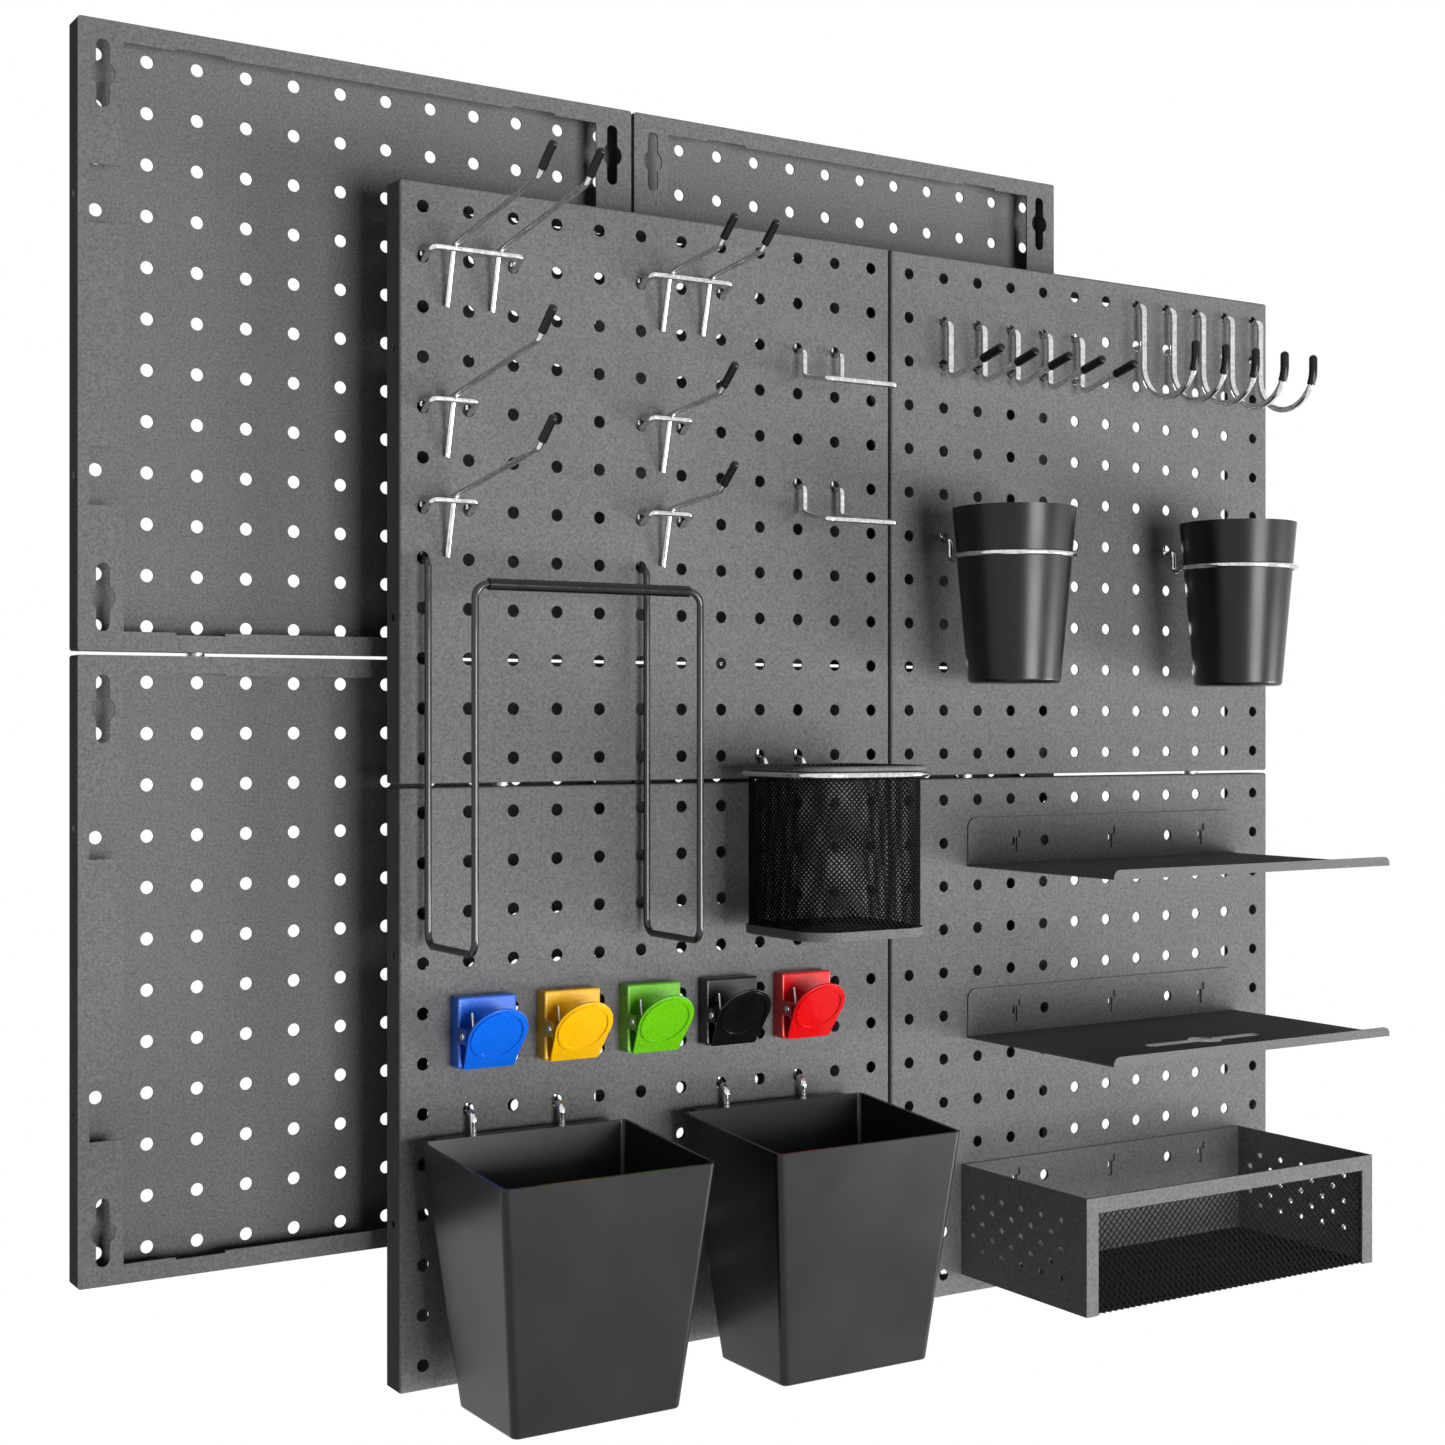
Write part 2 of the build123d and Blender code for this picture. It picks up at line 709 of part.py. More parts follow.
def bin_hanger(x, row_z):
    """A wire from a peg hole, down behind the bin's lip and up into it."""
    d = hanger_wire_d
    z = seat(row_z, d)
    y = face_y - hanger_stand
    tip_z = bin_rim_z(row_z) - lip_sheet - lift_gap
    low = tip_z - hanger_tip
    front = y - hanger_span
    points = tail(x, z, d) + [(x, y, z), (x, y, low), (x, front, low), (x, front, tip_z)]
    bends = [bend_ratio * d] * 2 + [hanger_turn] * 2
    return bent_wire(points, d, bends)


# Shelves and tray

def tab_slot(x, z):
    """The 7-shaped window beside a tab, which the tab is bent out of."""
    edge = x + shelf_sheet / 2
    slot = Pos(edge + tab_slot_width / 2, z) * Rectangle(tab_slot_width, tab_slot_height)
    wide = tab_slot_width + tab_slot_head
    return slot + Pos(edge + wide / 2, z + tab_slot_height / 3) * Rectangle(wide, tab_slot_height / 3)


def tab(x, z):
    """A bent tab that rests in a peg hole and hooks down behind the sheet."""
    low = z - math.sqrt((peg_hole_d / 2) ** 2 - (shelf_sheet / 2) ** 2) + seat_gap
    top = low + tab_height
    back = face_y + sheet + tab_clear
    far = back + tab_hook_width
    start = face_y - shelf_sheet
    profile = Polyline(
        (start, top), (far, top), (far, low - tab_hook), (back, low - tab_hook), (back, low), (start, low),
        close=True,
    )
    return Pos(x, 0, 0) * extrude(Plane.YZ * make_face(profile), shelf_sheet / 2, both=True)


def tab_columns(side):
    return [hole(side, LOWER, column, 1)[0] for column in (4, 7, 10)]


def plain_columns(side):
    return [hole(side, LOWER, column, 1)[0] for column in (5, 9)]


def back_plate(width, low, high, corner, row_z):
    """A back plate against the board, with its windows, plain holes and tabs."""
    middle = tab_columns(RIGHT)[1]
    outline = Pos(middle, (low + high) / 2) * Rectangle(width, high - low)
    if corner:
        outline = fillet(outline.vertices().group_by(Axis.Y)[-1], corner)
    for x in tab_columns(RIGHT):
        outline -= tab_slot(x, row_z)
    for x in plain_columns(RIGHT):
        outline -= Pos(x, row_z) * Circle(plain_hole_d / 2)
    plate = Pos(0, face_y, 0) * extrude(Plane.XZ * outline, shelf_sheet)
    for x in tab_columns(RIGHT):
        plate += tab(x, row_z)
    return plate


def sheet_shelf(row_z, slotted):
    middle = tab_columns(RIGHT)[1]
    low = row_z - shelf_tab_up
    shelf = back_plate(shelf_width, low, low + shelf_back_height, shelf_corner, row_z)
    floor = Pos(middle, face_y - shelf_depth / 2) * Rectangle(shelf_width, shelf_depth)
    if slotted:
        at = Pos(middle, face_y - shelf_depth + cable_slot_from_lip)
        floor -= at * SlotOverall(cable_slot_length, cable_slot_width)
        floor -= at * Circle(cable_slot_round / 2)
    shelf += Pos(0, 0, low) * extrude(floor, shelf_sheet)
    lip = Pos(middle, low + shelf_lip / 2) * Rectangle(shelf_width, shelf_lip)
    lip = fillet(lip.vertices().group_by(Axis.Y)[-1], shelf_lip - shelf_sheet)
    shelf += Pos(0, face_y - shelf_depth + shelf_sheet, 0) * extrude(Plane.XZ * lip, shelf_sheet)
    return shelf


def tray_body(row_z):
    """Back plate, two perforated sides and the front frame, folded from one sheet."""
    middle = tab_columns(RIGHT)[1]
    high = row_z + tray_tab_down
    low = high - tray_height
    body = back_plate(tray_width, low, high, 0, row_z)
    side = Pos(-tray_depth / 2, -tray_height / 2) * Rectangle(tray_depth, tray_height)
    for row in range(side_hole_rows):
        shift = (row % 2 - 0.5) * side_hole_step / 2
        drop = (row - (side_hole_rows - 1) / 2) * side_hole_row_step
        line = Pos(shift - side_hole_back, -drop - side_hole_down)
        side -= [line * place * Circle(side_hole_d / 2)
                 for place in GridLocations(side_hole_step, 1, side_hole_columns, 1)]
    for way in (LEFT, RIGHT):
        outer = middle + way * tray_width / 2
        body += Pos(outer, face_y, high) * extrude(Plane.YZ * side, -way * shelf_sheet)
    frame = Rectangle(tray_width, tray_height)
    frame -= Pos(0, -tray_frame / 2) * Rectangle(tray_width - 2 * tray_frame, tray_height - tray_frame)
    front = face_y - tray_depth + shelf_sheet
    body += Pos(middle, front, (low + high) / 2) * extrude(Plane.XZ * frame, shelf_sheet)
    return body


def net(width, height):
    """A flat sheet with a trellis of diamond gaps."""
    columns = int((width - 2 * net_strand) / net_cell_x)
    rows = int((height - 2 * net_strand) / net_cell_y)
    half_x = net_cell_x / 2
    half_y = net_cell_y / 2
    keep = 1 - net_strand / 2 * math.hypot(half_x, half_y) / (half_x * half_y)
    corners = [(half_x, 0), (0, half_y), (-half_x, 0), (0, -half_y)]
    gap = make_face(Polyline(*[(x * keep, y * keep) for x, y in corners], close=True))
    crossings = list(GridLocations(net_cell_x, net_cell_y, columns, rows))
    between = list(GridLocations(net_cell_x, net_cell_y, columns - 1, rows - 1))
    return Rectangle(width, height) - [place * gap for place in crossings + between]


def tray_floor_mesh(row_z):
    middle = tab_columns(RIGHT)[1]
    width = tray_width - 2 * (shelf_sheet + tray_mesh_gap)
    depth = tray_depth - 2 * (shelf_sheet + tray_mesh_gap)
    low = row_z + tray_tab_down - tray_height
    return Pos(middle, face_y - tray_depth / 2, low) * extrude(net(width, depth), tray_mesh_sheet)


def tray_front_mesh(row_z):
    middle = tab_columns(RIGHT)[1]
    width = tray_width - 2 * (shelf_sheet + tray_mesh_gap)
    height = tray_height - tray_mesh_sheet - 2 * tray_mesh_gap
    high = row_z + tray_tab_down
    back = face_y - tray_depth + shelf_sheet + tray_mesh_gap + tray_mesh_sheet
    place = Pos(middle, back, high - tray_mesh_gap - height / 2)
    return place * extrude(Plane.XZ * net(width, height), tray_mesh_sheet)


# Assembly

nodes = {}
panel = perforated_panel()
rear_turn = Pos(rear_shift_x, rear_clearance, rear_shift_z) * Rot(0, 0, 180)
for level, level_name in ((UPPER, "upper"), (LOWER, "lower")):
    for side, side_name in ((LEFT, "left"), (RIGHT, "right")):
        place = Pos(side * panel_step / 2, 0, level * panel_step / 2)
        nodes[f"panel_{level_name}_{side_name}"] = place * panel
        turned = Pos(-side * panel_step / 2, 0, level * panel_step / 2)
        nodes[f"rear_panel_{level_name}_{side_name}"] = rear_turn * turned * panel

for prefix, shift in (("", Pos(0, 0, 0)), ("rear_", rear_turn)):
    nodes[prefix + "joining_screws"] = group([shift * place * join_screw() for place in join_places()])
    nodes[prefix + "joining_nuts"] = group([shift * place * join_nut() for place in join_places()])
    nodes[prefix + "joining_spacers"] = group([shift * place * join_spacer() for place in join_places()])

hook_caps = []
hook_plan = [
    ("long_double_hook", 1, 3, 2, long_arm_reach, long_arm_rise),
    ("short_double_hook", 6, 8, 2, short_arm_reach, short_arm_rise),
    ("long_hook_1", 1, 2, 5, long_arm_reach, long_arm_rise),
    ("long_hook_2", 1, 2, 7, long_arm_reach, long_arm_rise),
    ("short_hook_1", 6, 7, 5, short_arm_reach, short_arm_rise),
    ("short_hook_2", 6, 7, 7, short_arm_reach, short_arm_rise),
]
for name, first, last, row, reach, rise in hook_plan:
    left, row_z = hole(LEFT, UPPER, first, row)
    right = hole(LEFT, UPPER, last, row)[0]
    prongs = [left + (step + 0.5) * peg_pitch for step in range(last - first)]
    nodes[name], caps = prong_hook((left, right), row_z, prongs, reach, rise)
    hook_caps += caps
nodes["hook_tip_caps"] = group(hook_caps)

loop_pegs = [hole(LEFT, UPPER, column, 1)[0] for column in (10, 11)]
nodes["tool_loop_upper"] = tool_loop(loop_pegs, hole(LEFT, UPPER, 10, 3)[1])
nodes["tool_loop_lower"] = tool_loop(loop_pegs, hole(LEFT, UPPER, 10, 6)[1])

pocket_pegs = [hole(LEFT, UPPER, column, 1)[0] for column in (1, 6)]
pocket_row = hole(LEFT, UPPER, 1, 8)[1]
nodes["pocket_holder"] = pocket_holder(pocket_pegs, pocket_row)
nodes["pocket_sleeve"] = pocket_sleeve(pocket_pegs, pocket_row)

pins = [pin_hook(*hole(RIGHT, UPPER, column, 2)) for column in range(2, 7)]
nodes["pin_hooks"] = group([hook for hook, cap in pins])
nodes["pin_hook_caps"] = group([cap for hook, cap in pins])
j_hooks = [j_hook(*hole(RIGHT, UPPER, column, 1)) for column in range(8, 13)]
nodes["j_hooks"] = group([hook for hook, cap in j_hooks])
nodes["j_hook_caps"] = group([cap for hook, cap in j_hooks])

for index, column in ((1, 2), (2, 9)):
    ring_pegs = [hole(RIGHT, UPPER, column + step, 7)[0] for step in (0, 1)]
    ring_row = hole(RIGHT, UPPER, column, 7)[1]
    nodes[f"cup_{index}"] = cup(sum(ring_pegs) / 2, ring_row)
    nodes[f"cup_ring_{index}"] = cup_ring(ring_pegs, ring_row)

basket_pegs = [hole(LEFT, UPPER, column, 12)[0] for column in (9, 10)]
basket_row = hole(LEFT, UPPER, 9, 12)[1]
base, mesh, rim = basket_pieces(sum(basket_pegs) / 2, basket_row)
nodes["basket_base"] = base
nodes["basket_mesh"] = mesh
nodes["basket_rim"] = rim
nodes["basket_ring"] = basket_ring(basket_pegs, basket_row)

clip_names = ("blue", "yellow", "green", "black", "red")
clip_xs = [clip_first_x + step * clip_spacing for step in range(len(clip_names))]
clip_places = [Pos(x, face_y, clip_foot_z) for x in clip_xs]
for name, place in zip(clip_names, clip_places):
    nodes[f"clip_plate_{name}"] = place * clip_pan()
    nodes[f"clip_lever_{name}"] = place * clip_lever()
nodes["clip_pins"] = group([place * clip_pin() for place in clip_places])
spring, spring_points = clip_spring()
coil_gap = least_gap(spring_points, clip_spring_wire, 6)
print(f"least gap between the spring's turns: {coil_gap:.2f} mm")
nodes["clip_springs"] = group([place * spring for place in clip_places])
nodes["clip_magnets"] = group([place * clip_magnet() for place in clip_places])

hangers = []
for index, first in ((1, 2), (2, 8)):
    bin_pegs = [hole(LEFT, LOWER, first + step, 7)[0] for step in (0, 2)]
    bin_row = hole(LEFT, LOWER, first, 7)[1]
    nodes[f"bin_{index}"] = tapered_bin(sum(bin_pegs) / 2, bin_row)
    hangers += [bin_hanger(x, bin_row) for x in bin_pegs]
nodes["bin_hangers"] = group(hangers)

nodes["plain_shelf"] = sheet_shelf(hole(RIGHT, LOWER, 1, 2)[1], False)
nodes["slotted_shelf"] = sheet_shelf(hole(RIGHT, LOWER, 1, 6)[1], True)
tray_row = hole(RIGHT, LOWER, 1, 10)[1]
nodes["tray_body"] = tray_body(tray_row)
nodes["tray_floor_mesh"] = tray_floor_mesh(tray_row)
nodes["tray_front_mesh"] = tray_front_mesh(tray_row)

os.makedirs("parts", exist_ok=True)
for name, shape in nodes.items():
    export_step(shape, f"parts/{name}.step")
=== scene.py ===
import json
import math

import bpy
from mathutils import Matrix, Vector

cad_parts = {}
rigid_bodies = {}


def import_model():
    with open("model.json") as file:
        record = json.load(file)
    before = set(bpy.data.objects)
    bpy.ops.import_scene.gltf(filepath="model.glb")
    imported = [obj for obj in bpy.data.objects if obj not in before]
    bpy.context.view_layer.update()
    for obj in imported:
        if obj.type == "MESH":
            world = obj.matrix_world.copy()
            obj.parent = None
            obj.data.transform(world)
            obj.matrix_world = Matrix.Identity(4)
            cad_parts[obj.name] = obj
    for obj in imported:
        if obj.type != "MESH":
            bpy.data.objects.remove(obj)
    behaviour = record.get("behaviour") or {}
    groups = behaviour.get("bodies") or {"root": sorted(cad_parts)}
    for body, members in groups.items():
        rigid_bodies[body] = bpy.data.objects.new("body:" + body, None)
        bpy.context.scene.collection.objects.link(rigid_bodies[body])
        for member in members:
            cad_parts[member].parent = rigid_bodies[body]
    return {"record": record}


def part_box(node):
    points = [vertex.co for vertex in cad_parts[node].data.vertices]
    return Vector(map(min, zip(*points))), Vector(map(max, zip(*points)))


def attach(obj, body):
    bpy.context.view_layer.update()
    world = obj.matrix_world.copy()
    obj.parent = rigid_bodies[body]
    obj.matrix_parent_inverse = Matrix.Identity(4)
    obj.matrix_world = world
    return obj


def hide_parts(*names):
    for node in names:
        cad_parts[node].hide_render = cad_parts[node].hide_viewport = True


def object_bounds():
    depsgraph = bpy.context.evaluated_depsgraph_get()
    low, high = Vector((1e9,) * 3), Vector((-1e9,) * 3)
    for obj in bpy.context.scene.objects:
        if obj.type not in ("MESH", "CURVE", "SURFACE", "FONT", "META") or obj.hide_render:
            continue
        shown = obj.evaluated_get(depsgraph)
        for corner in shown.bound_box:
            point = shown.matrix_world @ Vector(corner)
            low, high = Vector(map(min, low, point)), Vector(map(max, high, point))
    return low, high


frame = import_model()
cad_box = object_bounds()

MM = 0.001

# Camera, in the frame's metres and degrees: level, left of the wall's middle
CAMERA_PLACE = (-0.73615, -1.00877, 0.03198)
CAMERA_YAW = -32.056
CAMERA_LENS = 53.06
SENSOR_WIDTH = 36.0

# Mesh of the basket and the tray, in millimetres
BASKET_HALF_CELL = 1.5
BASKET_STRAND = 1.1
BASKET_CORNER = 17.0
TRAY_HALF_CELL = 2.2
TRAY_STRAND = 0.9
STRAND_SIDES = 4
CORNER_STEPS = 8

# Noise in every finish: its detail, and the part of its range that is spread over a finish's two ends
GRAIN_DETAIL = 3.0
CLOUD_DETAIL = 2.0
NOISE_LOW = 0.3
NOISE_HIGH = 0.7
BUMP_STRENGTH = 0.5

# Studio, in metres; the room's own light only fills the shade
FLOOR_BELOW = 0.9
FLOOR_HALF = 12.0
FLOOR_COLOUR = "#F4F4F4"
FLOOR_ROUGHNESS = 0.9
ROOM_LIGHT = 0.04
WHITE = (1.0, 1.0, 1.0, 1.0)

# Soft lights: place, width and height in metres, and power in watts, all aimed at one point
LIGHT_TARGET = (0.0, 0.0, -0.05)
LIGHTS = {
    "front_light": ((0.2, -2.7, -0.3), (1.2, 1.0), 60),
    "low_light": ((2.5, -1.7, -0.95), (1.3, 1.3), 102),
    "back_light": ((0.9, 2.6, 0.3), (1.4, 1.4), 40),
    "left_fill": ((-2.4, -1.0, 0.3), (0.8, 1.6), 0.5),
}

CLIP_COLOURS = {
    "blue": ("#0C62DC", "#1070F0"),
    "yellow": ("#F3B406", "#FFC50A"),
    "green": ("#60B40C", "#70C812"),
    "black": ("#0A0A0B", "#101011"),
    "red": ("#D8080E", "#EC0B12"),
}


def linear(code):
    """Linear RGBA of an sRGB hex colour."""
    channels = [int(code[i:i + 2], 16) / 255 for i in (1, 3, 5)]
    return [c / 12.92 if c <= 0.04045 else ((c + 0.055) / 1.055) ** 2.4 for c in channels] + [1.0]


def add(tree, kind, inputs=None, **settings):
    """Add a node with its settings; each input takes another node's output or a plain value."""
    node = tree.nodes.new(kind)
    for name, value in settings.items():
        setattr(node, name, value)
    for key, value in (inputs or {}).items():
        if isinstance(value, bpy.types.NodeSocket):
            tree.links.new(value, node.inputs[key])
        else:
            node.inputs[key].default_value = value
    return node


def finish(name, dark, light, grain, clouds, gloss, relief=0.0, metallic=0.0, ior=1.5, specular=0.5,
           coat=0.0):
    """A surface: its colour and relief follow a fine grain, its roughness follows broader clouds.

    grain, clouds and relief are real sizes in millimetres; gloss is the range of roughness.
    """
    material = bpy.data.materials.new(name)
    material.use_nodes = True
    tree = material.node_tree
    shader = tree.nodes["Principled BSDF"]
    shader.inputs["Metallic"].default_value = metallic
    shader.inputs["IOR"].default_value = ior
    shader.inputs["Specular IOR Level"].default_value = specular
    shader.inputs["Coat Weight"].default_value = coat
    place = add(tree, "ShaderNodeTexCoord").outputs["Object"]
    fine = add(tree, "ShaderNodeTexNoise",
               {"Vector": place, "Scale": 1 / (grain * MM), "Detail": GRAIN_DETAIL})
    fine = add(tree, "ShaderNodeMapRange",
               {"Value": fine.outputs["Fac"], "From Min": NOISE_LOW, "From Max": NOISE_HIGH})
    tint = add(tree, "ShaderNodeMixRGB",
               {"Fac": fine.outputs["Result"], "Color1": linear(dark), "Color2": linear(light)})
    tree.links.new(tint.outputs["Color"], shader.inputs["Base Color"])
    broad = add(tree, "ShaderNodeTexNoise",
                {"Vector": place, "Scale": 1 / (clouds * MM), "Detail": CLOUD_DETAIL})
    rough = add(tree, "ShaderNodeMapRange",
                {"Value": broad.outputs["Fac"], "From Min": NOISE_LOW, "From Max": NOISE_HIGH,
                 "To Min": gloss[0], "To Max": gloss[1]})
    tree.links.new(rough.outputs["Result"], shader.inputs["Roughness"])
    if relief:
        bump = add(tree, "ShaderNodeBump",
                   {"Height": fine.outputs["Result"], "Strength": BUMP_STRENGTH, "Distance": relief * MM})
        tree.links.new(bump.outputs["Normal"], shader.inputs["Normal"])
    return material


FINISHES = {
    # Powder coat: a matt, sandy grain of about 0.4 mm, drawn at 1.1 mm so that it shows
    "powder_coat": finish("powder_coated_steel", "#626263", "#7E7E7F", 1.1, 60.0, (0.72, 0.86),
                          relief=0.05, ior=1.35, specular=0.04),
    # Zinc plating on screws, nuts and spacers: pale metal with a cloudy passivated skin
    "zinc": finish("zinc_plated_steel", "#A3A5A6", "#CDCDC8", 1.6, 1.6, (0.28, 0.44), metallic=1.0),
    # Bright nickel plating on wire: mirror-like, with faint clouds in its gloss
    "bright_wire": finish("bright_plated_wire", "#C4C5C8", "#E4E5E6", 2.5, 2.5, (0.09, 0.16), metallic=1.0),
    # Dip-moulded vinyl: a soft satin skin with slow waves in its gloss
    "vinyl": finish("dipped_vinyl", "#060607", "#0C0C0D", 0.7, 4.0, (0.20, 0.30), relief=0.01,
                    specular=0.3),
    # Stoved enamel on wire: a smooth paint film with clear glints along the bends
    "black_wire": finish("black_enamelled_wire", "#101011", "#171718", 30.0, 30.0, (0.20, 0.28), coat=0.3),
    # Injection-moulded polypropylene: spark grain of about 0.15 mm, drawn at 0.8 mm, under a satin sheen
    "moulded_plastic": finish("moulded_polypropylene", "#0B0B0C", "#121213", 0.8, 45.0, (0.27, 0.35),
                              relief=0.006, specular=0.35),
    # Thin matt paint on expanded metal: coloured nearly black, darker than the powder coat, as painted
    # shade among the strands, with only a faint glint on the strands
    "black_mesh": finish("painted_expanded_metal", "#040404", "#090909", 1.5, 1.5, (0.40, 0.55),
                         specular=0.12),
    # Sintered ferrite: dull, dark and finely pitted
    "magnet": finish("sintered_ferrite", "#222224", "#363638", 0.6, 5.0, (0.65, 0.75), relief=0.05),
}
# Gloss enamel on pressed steel: an even colour with slight orange peel under a clear coat
for clip_name, (clip_dark, clip_light) in CLIP_COLOURS.items():
    FINISHES[f"clip_{clip_name}"] = finish(f"{clip_name}_gloss_enamel", clip_dark, clip_light, 1.4, 14.0,
                                           (0.24, 0.34), relief=0.02, coat=0.2)


def dress_nodes():
    """Give every CAD node the finish of its material slot."""
    for part in frame["record"]["subparts"]:
        node = bpy.data.objects[part["node"]]
        node.data.materials.clear()
        node.data.materials.append(FINISHES[part["material_slot"]])


def expanded_mesh(name, path, rows, columns, row_step, strand, paint):
    """Rows of zigzag strands that touch at their peaks, laid along a path and stacked in rows.

    The path is a curve object in the XY plane; the rows climb along Z.
    """
    tree = bpy.data.node_groups.new(f"{name}_strands", "GeometryNodeTree")
    sizes = {"Rows": ("NodeSocketInt", rows), "Columns": ("NodeSocketInt", columns),
             "Row Step": ("NodeSocketFloat", row_step), "Strand": ("NodeSocketFloat", strand)}
    tree.interface.new_socket("Geometry", in_out="INPUT", socket_type="NodeSocketGeometry")
    keys = {}
    for label, (kind, value) in sizes.items():
        socket = tree.interface.new_socket(label, in_out="INPUT", socket_type=kind)
        keys[socket.identifier] = value
    tree.interface.new_socket("Geometry", in_out="OUTPUT", socket_type="NodeSocketGeometry")
    given = add(tree, "NodeGroupInput").outputs
    grid = add(tree, "GeometryNodeMeshGrid", {"Vertices X": given["Columns"], "Vertices Y": given["Rows"]})
    number = add(tree, "GeometryNodeInputIndex").outputs["Index"]

    row = add(tree, "ShaderNodeMath", {0: number, 1: given["Rows"]}, operation="MODULO").outputs[0]
    past = add(tree, "ShaderNodeMath", {0: number, 1: 0.5}, operation="ADD").outputs[0]
    ratio = add(tree, "ShaderNodeMath", {0: past, 1: given["Rows"]}, operation="DIVIDE").outputs[0]
    column = add(tree, "ShaderNodeMath", {0: ratio}, operation="FLOOR").outputs[0]
    both = add(tree, "ShaderNodeMath", {0: row, 1: column}, operation="ADD").outputs[0]
    parity = add(tree, "ShaderNodeMath", {0: both, 1: 2.0}, operation="MODULO").outputs[0]
    swing = add(tree, "ShaderNodeMath", {0: parity, 1: 0.5}, operation="SUBTRACT").outputs[0]
    steps = add(tree, "ShaderNodeMath", {0: row, 1: swing}, operation="ADD").outputs[0]
    height = add(tree, "ShaderNodeMath", {0: steps, 1: given["Row Step"]}, operation="MULTIPLY").outputs[0]
    last = add(tree, "ShaderNodeMath", {0: given["Columns"], 1: 1.0}, operation="SUBTRACT").outputs[0]
    share = add(tree, "ShaderNodeMath", {0: column, 1: last}, operation="DIVIDE").outputs[0]
    along = add(tree, "GeometryNodeSampleCurve", {"Curves": given["Geometry"], "Factor": share},
                mode="FACTOR")
    rise = add(tree, "ShaderNodeCombineXYZ", {"Z": height})
    spot = add(tree, "ShaderNodeVectorMath", {0: along.outputs["Position"], 1: rise.outputs[0]},
               operation="ADD")
    ends = add(tree, "GeometryNodeInputMeshEdgeVertices").outputs
    apart = add(tree, "ShaderNodeMath", {0: ends["Vertex Index 1"], 1: ends["Vertex Index 2"]},
                operation="SUBTRACT").outputs[0]
    span = add(tree, "ShaderNodeMath", {0: apart}, operation="ABSOLUTE").outputs[0]
    upright = add(tree, "ShaderNodeMath", {0: span, 1: 1.0, 2: 0.1}, operation="COMPARE").outputs[0]
    strips = add(tree, "GeometryNodeDeleteGeometry",
                 {"Geometry": grid.outputs["Mesh"], "Selection": upright}, domain="EDGE", mode="EDGE_FACE")
    placed = add(tree, "GeometryNodeSetPosition",
                 {"Geometry": strips.outputs["Geometry"], "Position": spot.outputs[0]})
    lines = add(tree, "GeometryNodeMeshToCurve", {"Mesh": placed.outputs["Geometry"]})
    radius = add(tree, "ShaderNodeMath", {0: given["Strand"], 1: 0.5}, operation="MULTIPLY").outputs[0]
    section = add(tree, "GeometryNodeCurvePrimitiveCircle", {"Radius": radius, "Resolution": STRAND_SIDES})
    tubes = add(tree, "GeometryNodeCurveToMesh",
                {"Curve": lines.outputs["Curve"], "Profile Curve": section.outputs["Curve"],
                 "Fill Caps": True})
    real = add(tree, "GeometryNodeRealizeInstances", {"Geometry": tubes.outputs["Mesh"]})
    coated = add(tree, "GeometryNodeSetMaterial", {"Geometry": real.outputs["Geometry"], "Material": paint})
    add(tree, "NodeGroupOutput", {"Geometry": coated.outputs["Geometry"]})
    modifier = path.modifiers.new("strands", "NODES")
    modifier.node_group = tree
    for key, value in keys.items():
        modifier[key] = value
    ready = path.evaluated_get(bpy.context.evaluated_depsgraph_get())
    mesh = bpy.data.meshes.new_from_object(ready)
    mesh.name = name
    path.modifiers.clear()
    bpy.data.objects.remove(path)
    piece = bpy.data.objects.new(name, mesh)
    bpy.context.collection.objects.link(piece)
    return piece


def path_object(name, points):
    """A curve object of straight runs through points."""
    curve = bpy.data.curves.new(name, "CURVE")
    curve.dimensions = "3D"
    spline = curve.splines.new("POLY")
    spline.points.add(len(points) - 1)
    for point, place in zip(spline.points, points):
        point.co = (*place, 1.0)
    path = bpy.data.objects.new(name, curve)
    bpy.context.collection.objects.link(path)
    return path


def rounded_square(centre_x, centre_y, half, corner, z):
    """Points round a square with arcs at its corners."""
    points = []
    for quarter in range(4):
        turn = math.pi / 2 * quarter
        sign_x = 1 if quarter in (0, 3) else -1
        sign_y = 1 if quarter in (0, 1) else -1
        for step in range(CORNER_STEPS + 1):
            angle = turn + math.pi / 2 * step / CORNER_STEPS
            x = centre_x + sign_x * (half - corner) + corner * math.cos(angle)
            y = centre_y + sign_y * (half - corner) + corner * math.sin(angle)
            points.append((x, y, z))
    return points


def basket_mesh():
    """The basket's wall as expanded metal, between its base and its rim."""
    low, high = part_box("basket_mesh")
    strand = BASKET_STRAND * MM
    half = (high[0] - low[0]) / 2 - strand / 2
    corner = BASKET_CORNER * MM - strand / 2
    middle = [(low[i] + high[i]) / 2 for i in range(2)]
    step = BASKET_HALF_CELL * MM
    rows = int((high[2] - low[2] - strand) / step)
    points = rounded_square(*middle, half, corner, low[2] + strand / 2 + step / 2)
    path = path_object("basket_path", points + points[:1])
    around = 8 * (half - corner) + 2 * math.pi * corner
    columns = 2 * round(around / step / 2) + 1
    # The basket's strands take the black_mesh finish, whose near-black colour is painted shade among the
    # strands
    piece = expanded_mesh("basket_expanded_mesh", path, rows, columns, step, strand, FINISHES["black_mesh"])
    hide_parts("basket_mesh")
    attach(piece, "basket")


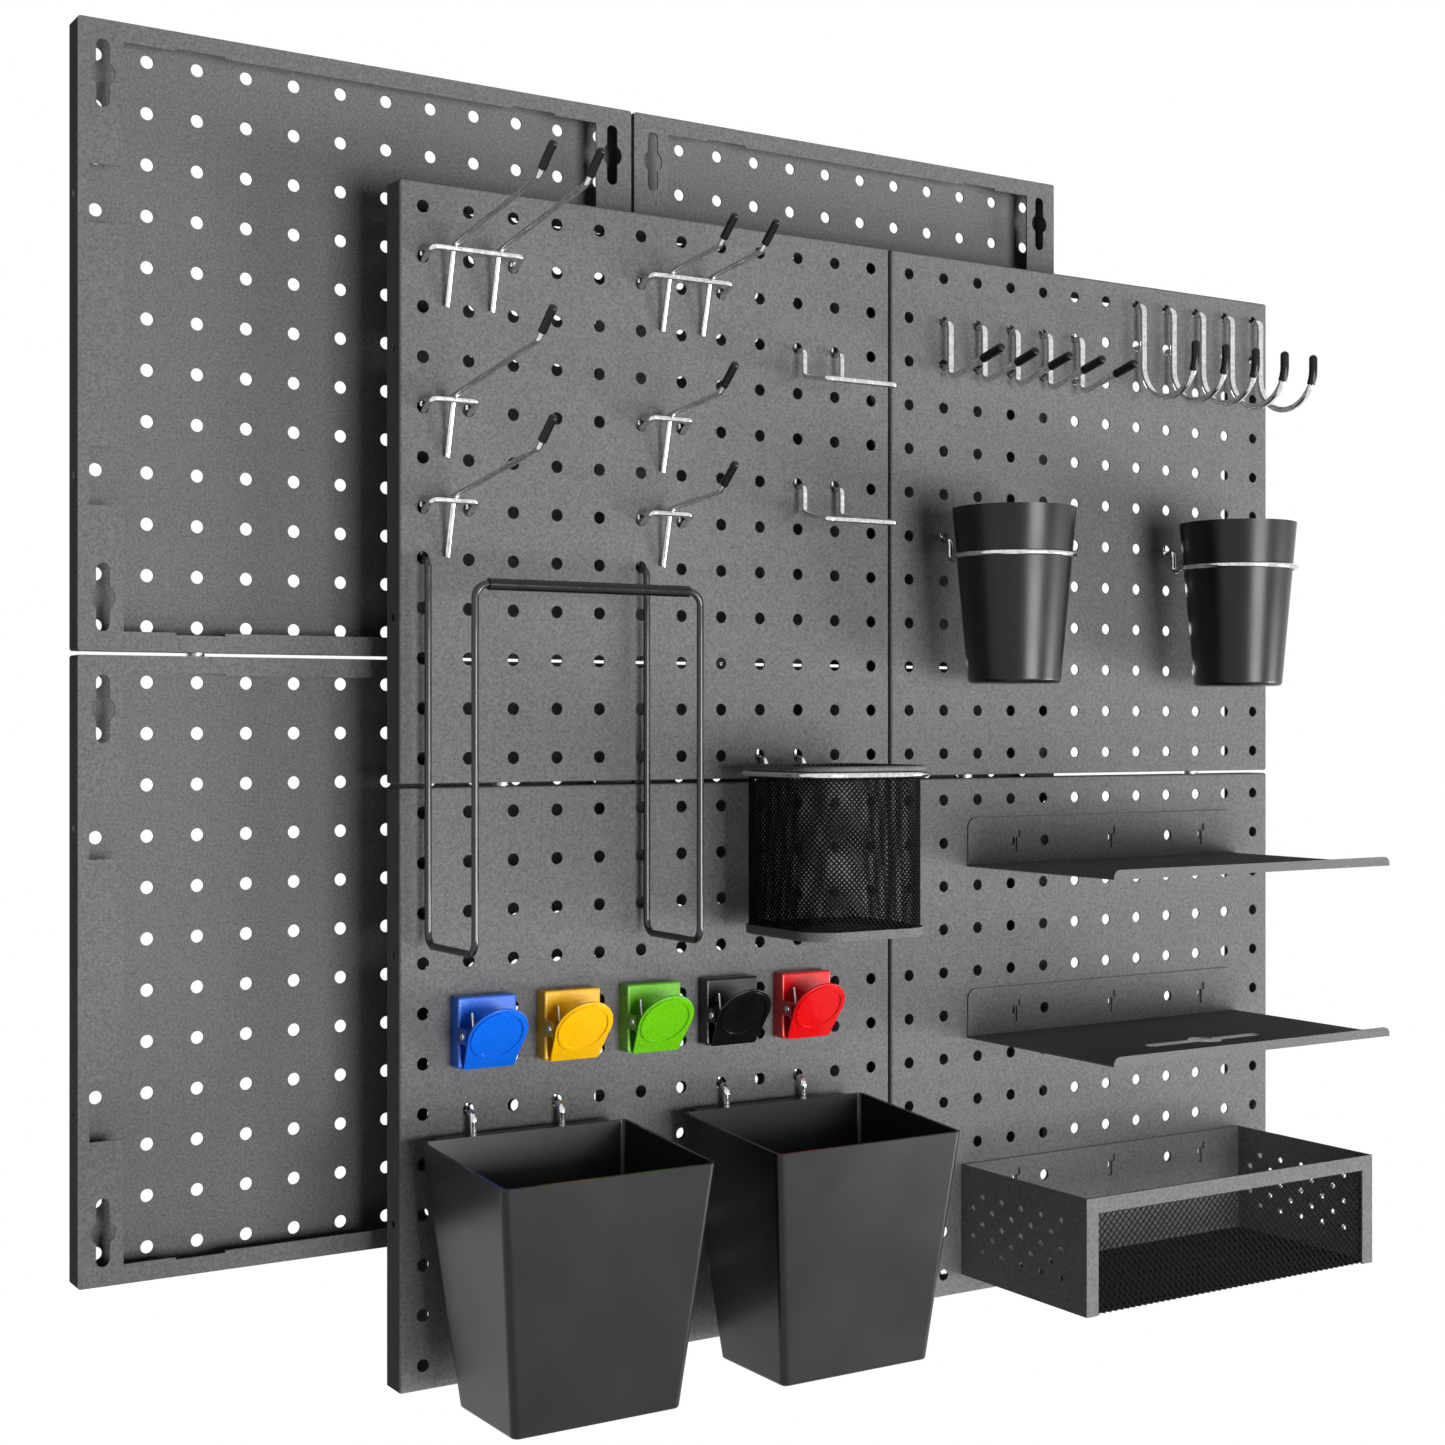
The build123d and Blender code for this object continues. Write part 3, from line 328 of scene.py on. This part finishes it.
def tray_mesh(node, upright):
    """One flat panel of the tray's expanded metal, in the place of its CAD sheet."""
    low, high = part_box(node)
    strand = TRAY_STRAND * MM
    step = TRAY_HALF_CELL * MM
    climb = 2 if upright else 1
    start = (low[0] + strand / 2, (low[1] + high[1]) / 2, 0.0)
    end = (high[0] - strand / 2, (low[1] + high[1]) / 2, 0.0)
    path = path_object(f"{node}_path", [start, end])
    columns = int((end[0] - start[0]) / step) + 1
    rows = int((high[climb] - low[climb] - strand) / step)
    # The tray's strands take the same near-black finish, whose colour is painted shade among the strands
    piece = expanded_mesh(f"{node}_expanded", path, rows, columns, step, strand, FINISHES["black_mesh"])
    lift = low[climb] + strand / 2 + step / 2
    for vertex in piece.data.vertices:
        x, y, z = vertex.co
        if upright:
            vertex.co = (x, y, z + lift)
        else:
            vertex.co = (x, z + lift, (low[2] + high[2]) / 2 + y - start[1])
    if not upright:
        piece.data.flip_normals()
    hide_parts(node)
    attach(piece, "wall")


def background_rays(tree):
    """1 where the camera, a mirror or glass looks at the background, and 0 for the light on things."""
    ray = add(tree, "ShaderNodeLightPath").outputs
    shown = add(tree, "ShaderNodeMath", {0: ray["Is Camera Ray"], 1: ray["Is Glossy Ray"]},
                operation="MAXIMUM")
    shown = add(tree, "ShaderNodeMath", {0: shown.outputs[0], 1: ray["Is Transmission Ray"]},
                operation="MAXIMUM")
    return shown.outputs[0]


def studio():
    """White surroundings, a low floor, and soft lights all round, the strongest from the right."""
    world = bpy.data.worlds.new("studio_white")
    bpy.context.scene.world = world
    world.use_nodes = True
    tree = world.node_tree
    tree.nodes.clear()
    dim = add(tree, "ShaderNodeBackground", {"Color": WHITE, "Strength": ROOM_LIGHT})
    white = add(tree, "ShaderNodeBackground", {"Color": WHITE, "Strength": 1.0})
    mix = add(tree, "ShaderNodeMixShader",
              {0: background_rays(tree), 1: dim.outputs[0], 2: white.outputs[0]})
    add(tree, "ShaderNodeOutputWorld", {"Surface": mix.outputs[0]})

    floor_mesh = bpy.data.meshes.new("studio_floor")
    z = cad_box[0][2] - FLOOR_BELOW
    corners = [(-FLOOR_HALF, -FLOOR_HALF, z), (FLOOR_HALF, -FLOOR_HALF, z),
               (FLOOR_HALF, FLOOR_HALF, z), (-FLOOR_HALF, FLOOR_HALF, z)]
    floor_mesh.from_pydata(corners, [], [(0, 1, 2, 3)])
    floor = bpy.data.objects.new("studio_floor", floor_mesh)
    bpy.context.collection.objects.link(floor)
    paint = bpy.data.materials.new("white_floor_paint")
    paint.use_nodes = True
    tree = paint.node_tree
    shader = tree.nodes["Principled BSDF"]
    shader.inputs["Base Color"].default_value = linear(FLOOR_COLOUR)
    shader.inputs["Roughness"].default_value = FLOOR_ROUGHNESS
    glow = add(tree, "ShaderNodeEmission", {"Color": WHITE, "Strength": 1.0})
    mix = add(tree, "ShaderNodeMixShader",
              {0: background_rays(tree), 1: shader.outputs[0], 2: glow.outputs[0]})
    tree.links.new(mix.outputs[0], tree.nodes["Material Output"].inputs["Surface"])
    floor_mesh.materials.append(paint)

    for lamp_name, (place, size, power) in LIGHTS.items():
        lamp(lamp_name, place, size, power)


def lamp(name, place, size, power):
    """A soft rectangular light aimed at the object."""
    light = bpy.data.lights.new(name, "AREA")
    light.shape = "RECTANGLE"
    light.size, light.size_y = size
    light.energy = power
    lamp_object = bpy.data.objects.new(name, light)
    bpy.context.collection.objects.link(lamp_object)
    lamp_object.location = place
    aim = [t - p for t, p in zip(LIGHT_TARGET, place)]
    flat = math.hypot(aim[0], aim[1])
    lamp_object.rotation_euler = (math.atan2(flat, -aim[2]), 0.0, math.atan2(-aim[0], aim[1]))


def camera():
    """The camera of the photograph's view."""
    lens = bpy.data.cameras.new("camera")
    lens.lens = CAMERA_LENS
    lens.sensor_width = SENSOR_WIDTH
    eye = bpy.data.objects.new("camera", lens)
    bpy.context.collection.objects.link(eye)
    eye.location = CAMERA_PLACE
    eye.rotation_euler = (math.pi / 2, 0.0, math.radians(CAMERA_YAW))
    bpy.context.scene.camera = eye


dress_nodes()
basket_mesh()
tray_mesh("tray_floor_mesh", False)
tray_mesh("tray_front_mesh", True)
studio()
camera()
bpy.context.scene.view_settings.view_transform = "Standard"
